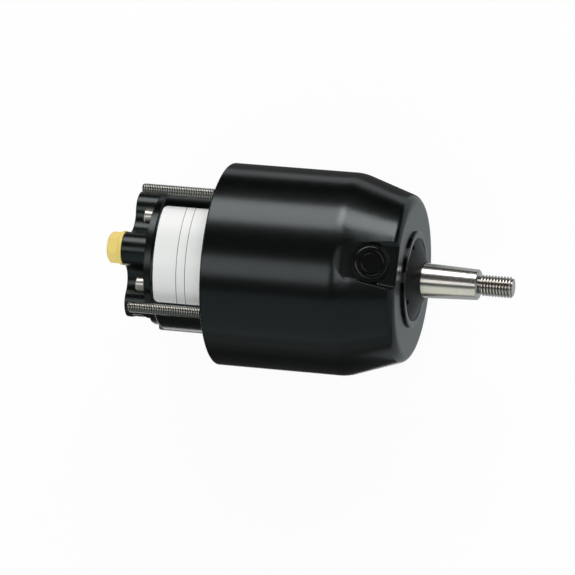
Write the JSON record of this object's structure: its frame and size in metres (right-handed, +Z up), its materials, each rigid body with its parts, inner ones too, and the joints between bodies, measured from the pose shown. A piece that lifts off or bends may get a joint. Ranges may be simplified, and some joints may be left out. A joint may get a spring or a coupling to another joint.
{
  "type": "hydraulic helm pump",
  "caption": "Dashboard helm pump: tapered round reservoir housing with filler cap, tapered wheel shaft, rear axial-piston body with lobed cover, mounting studs and capped port.",
  "frame": {"origin": "on the shaft axis, in the mounting plane at the rear rim of the housing", "axes": "-Y along the shaft to the wheel, +Y to the rear where the studs stand out, +Z up to the filler cap, +X right seen from the front"},
  "size_m": [0.115, 0.2278, 0.115],
  "materials": {
    "black_housing": "satin black coating",
    "black_body": "satin black coating",
    "black_plastic": "moulded, semi-gloss",
    "stainless": "turned and ground",
    "bright_screws": "rolled threads",
    "bearing_steel": "ground",
    "dark_steel": "black oxide",
    "aluminium_part": "machined",
    "bronze_part": "machined",
    "seal_rubber": "moulded",
    "yellow_plug": "moulded",
    "white_foil": "printed foil"
  },
  "bodies": {
    "housing": {"front_housing": "black_housing", "pump_body": "black_body", "rear_cover": "black_body", "cover_screws": "bright_screws", "flange_screws": "bright_screws", "mounting_studs": "bright_screws", "port_plug": "yellow_plug", "nameplate": "white_foil", "flange_o_ring": "seal_rubber", "cover_o_ring": "seal_rubber", "lock_ring": "black_plastic", "seal_carrier": "black_plastic", "shaft_seal": "seal_rubber", "bearing_outer_ring": "bearing_steel", "swash_plate": "aluminium_part", "swash_screws": "bright_screws", "fixed_race": "bearing_steel", "port_plate": "bronze_part", "port_plate_pins": "dark_steel", "rear_bush": "bronze_part", "valve_seats": "bronze_part", "poppet_springs": "stainless", "valve_end_plugs": "dark_steel"},
    "rotor": {"wheel_shaft": "stainless", "bearing_inner_ring": "bearing_steel", "bearing_circlip": "dark_steel", "drive_key": "dark_steel", "cylinder_block": "bronze_part", "piston_springs": "stainless", "piston_1": "bearing_steel", "piston_2": "bearing_steel", "piston_3": "bearing_steel", "piston_4": "bearing_steel", "piston_5": "bearing_steel", "piston_6": "bearing_steel", "piston_7": "bearing_steel"},
    "bearing_ball_ring": {"bearing_balls_set": "bearing_steel", "bearing_cage": "bronze_part"},
    "thrust_race": {"moving_race": "bearing_steel"},
    "thrust_ball_ring": {"thrust_balls_set": "bearing_steel", "thrust_cage": "bronze_part"},
    "spool": {"valve_spool": "bearing_steel"},
    "left_poppet": {"poppet_left": "bearing_steel"},
    "right_poppet": {"poppet_right": "bearing_steel"},
    "filler_seal": {"filler_o_ring": "seal_rubber"},
    "filler": {"filler_cap": "black_plastic"}
  },
  "joints": [
    {"name": "shaft_spin", "type": "hinge", "parent": "housing", "child": "rotor", "pos_m": [0, 0, 0], "axis": [0, -1, 0], "continuous": true},
    {"name": "bearing_cage_spin", "type": "hinge", "parent": "housing", "child": "bearing_ball_ring", "pos_m": [0, -0.099, 0], "axis": [0, -1, 0], "continuous": true},
    {"name": "thrust_race_spin", "type": "hinge", "parent": "housing", "child": "thrust_race", "pos_m": [0, -0.0805, 0], "axis": [0, -0.9511, -0.309], "continuous": true},
    {"name": "thrust_cage_spin", "type": "hinge", "parent": "housing", "child": "thrust_ball_ring", "pos_m": [0, -0.0805, 0], "axis": [0, -0.9511, -0.309], "continuous": true},
    {"name": "spool_slide", "type": "slide", "parent": "housing", "child": "spool", "axis": [1, 0, 0], "range_m": [-0.0014, 0.0014]},
    {"name": "left_poppet_lift", "type": "slide", "parent": "housing", "child": "left_poppet", "axis": [-1, 0, 0], "range_m": [0, 0.002], "stiffness_N_per_m": 400, "springref_m": -0.001, "deforming": ["poppet_springs"]},
    {"name": "right_poppet_lift", "type": "slide", "parent": "housing", "child": "right_poppet", "axis": [1, 0, 0], "range_m": [0, 0.002], "stiffness_N_per_m": 400, "springref_m": -0.001, "deforming": ["poppet_springs"]},
    {"name": "filler_lift", "type": "slide", "parent": "housing", "child": "filler_seal", "axis": [0, -0.4258, 0.9048], "range_m": [0, 0.006]},
    {"name": "filler_turn", "type": "hinge", "parent": "filler_seal", "child": "filler", "pos_m": [0, -0.0946, 0.04858], "axis": [0, -0.4258, 0.9048], "range_deg": [0, 1442]}
  ],
  "couplings": [
    {"joint": "bearing_cage_spin", "follows": "shaft_spin", "ratio": 0.4},
    {"joint": "thrust_race_spin", "follows": "shaft_spin", "ratio": 1},
    {"joint": "thrust_cage_spin", "follows": "shaft_spin", "ratio": 0.5},
    {"joint": "filler_turn", "follows": "filler_lift", "rad_per_m": 4188.8}
  ]
}
